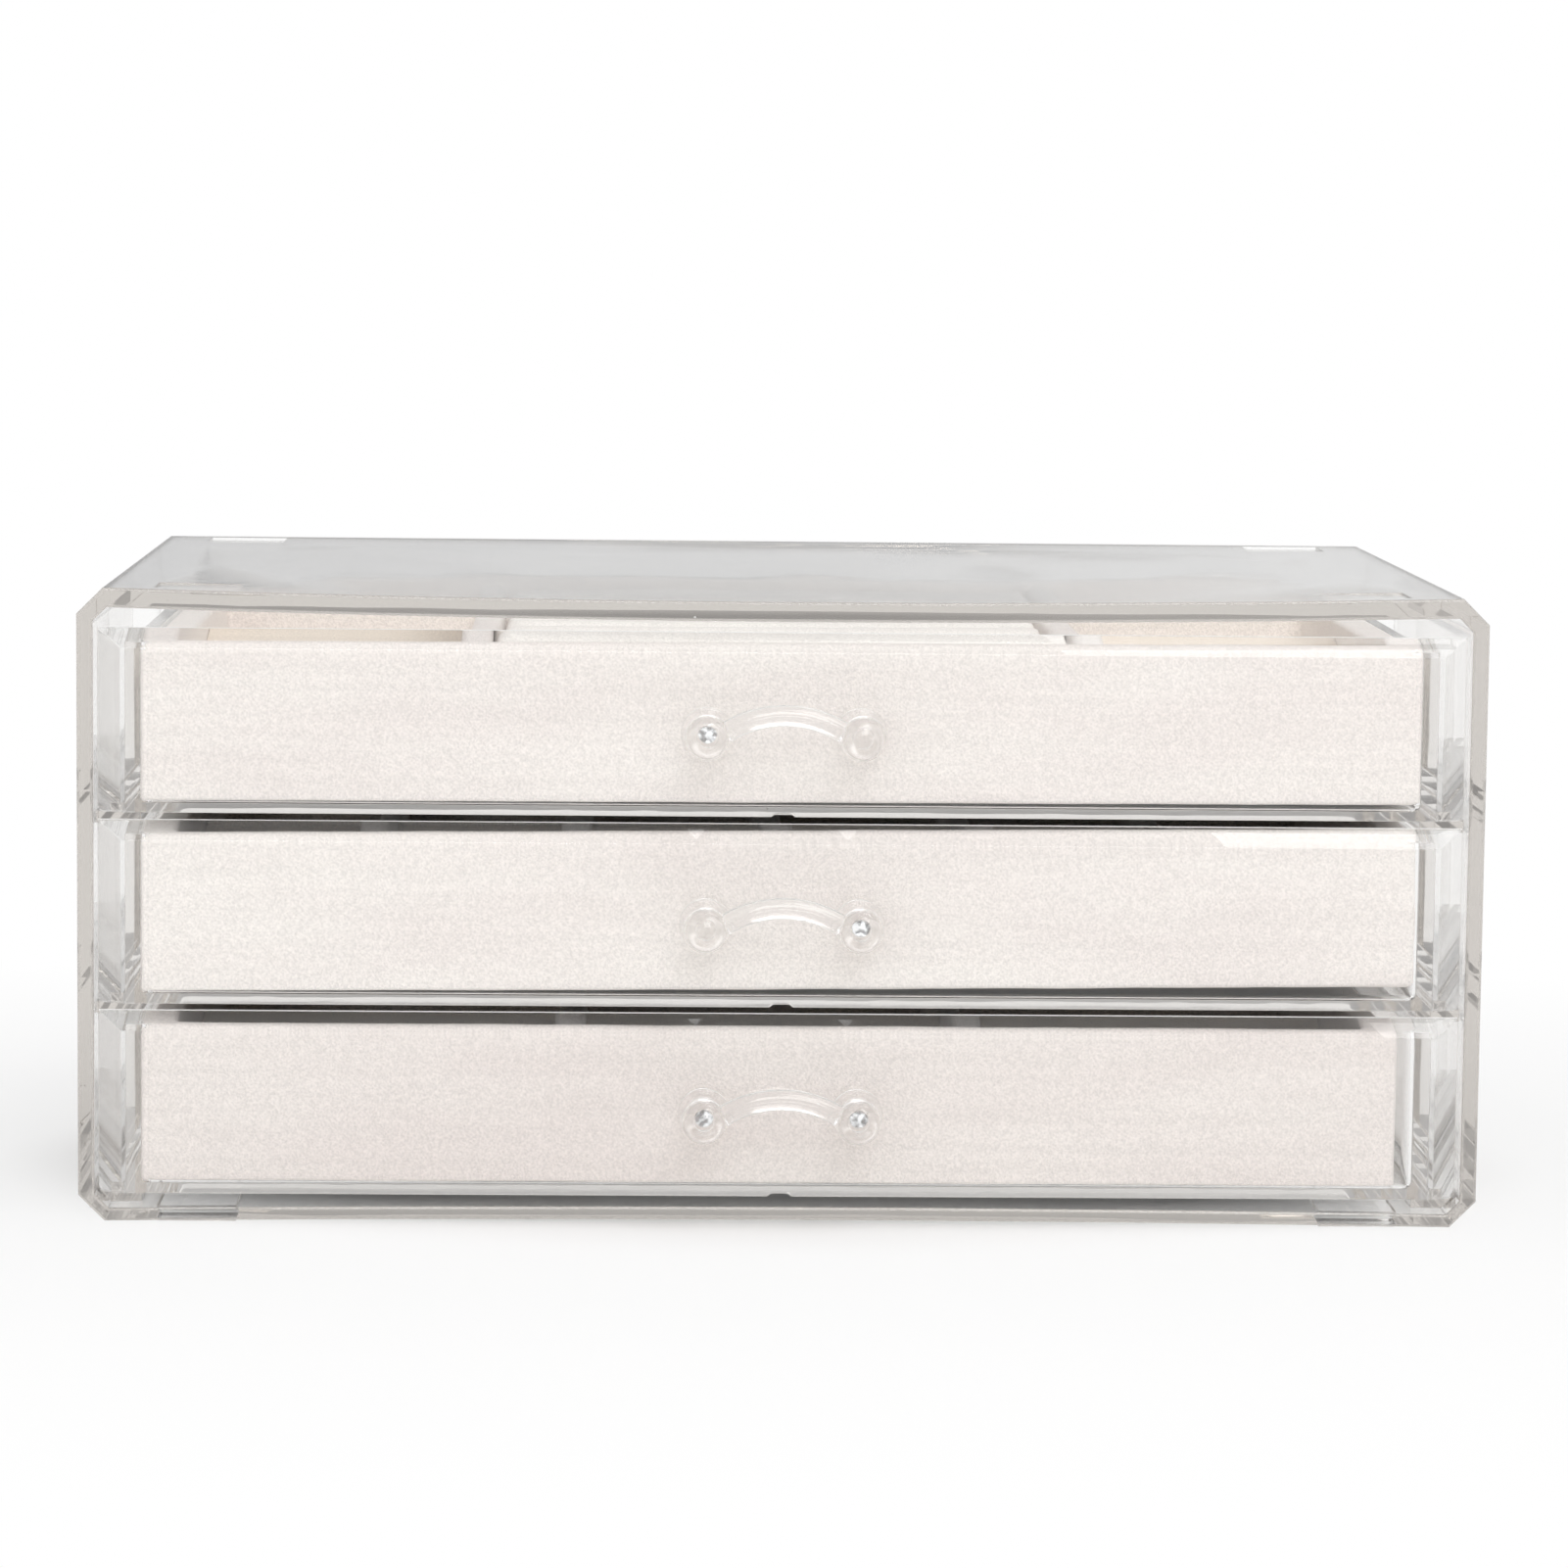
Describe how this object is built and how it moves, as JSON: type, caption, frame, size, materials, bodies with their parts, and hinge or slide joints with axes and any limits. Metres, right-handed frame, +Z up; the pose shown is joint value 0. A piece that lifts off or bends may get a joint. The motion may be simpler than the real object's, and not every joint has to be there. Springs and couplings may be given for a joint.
{
  "type": "jewelry organizer",
  "caption": "Clear moulded jewelry organizer with sliding bevelled drawers, ball and arch handles, and cream velvet trays with ring rolls and compartments.",
  "frame": {"origin": "middle of the footprint, handles included, on the surface the organizer stands on", "axes": "+X to the right of someone facing the drawers, +Y to the back, +Z up; the drawers open towards -Y"},
  "size_m": [0.235, 0.1444, 0.107],
  "materials": {
    "clear_acrylic": "clear polished moulding",
    "cream_velvet": "short velvet pile over board or foam"
  },
  "bodies": {
    "case_body": {"case": "clear_acrylic"},
    "top_drawer_unit": {"top_drawer": "clear_acrylic", "top_handle": "clear_acrylic", "top_tray_frame": "cream_velvet", "top_tray_floor": "cream_velvet", "top_tray_left_divider": "cream_velvet", "top_tray_right_divider": "cream_velvet", "top_tray_ring_roll_1": "cream_velvet", "top_tray_ring_roll_2": "cream_velvet", "top_tray_ring_roll_3": "cream_velvet", "top_tray_ring_roll_4": "cream_velvet", "top_tray_ring_roll_5": "cream_velvet", "top_tray_ring_roll_6": "cream_velvet", "top_tray_ring_roll_7": "cream_velvet", "top_tray_ring_roll_8": "cream_velvet"},
    "middle_drawer_unit": {"middle_drawer": "clear_acrylic", "middle_handle": "clear_acrylic", "middle_tray_frame": "cream_velvet", "middle_tray_floor": "cream_velvet", "middle_tray_long_divider": "cream_velvet", "middle_tray_cross_divider_1": "cream_velvet", "middle_tray_cross_divider_2": "cream_velvet", "middle_tray_cross_divider_3": "cream_velvet", "middle_tray_cross_divider_4": "cream_velvet", "middle_tray_cross_divider_5": "cream_velvet"},
    "bottom_drawer_unit": {"bottom_drawer": "clear_acrylic", "bottom_handle": "clear_acrylic", "bottom_tray_frame": "cream_velvet", "bottom_tray_floor": "cream_velvet", "bottom_tray_divider_1": "cream_velvet", "bottom_tray_divider_2": "cream_velvet"}
  },
  "joints": [
    {"name": "top_drawer_slide", "type": "slide", "parent": "case_body", "child": "top_drawer_unit", "axis": [0, -1, 0], "range_m": [0, 0.11]},
    {"name": "middle_drawer_slide", "type": "slide", "parent": "case_body", "child": "middle_drawer_unit", "axis": [0, -1, 0], "range_m": [0, 0.11]},
    {"name": "bottom_drawer_slide", "type": "slide", "parent": "case_body", "child": "bottom_drawer_unit", "axis": [0, -1, 0], "range_m": [0, 0.11]}
  ]
}
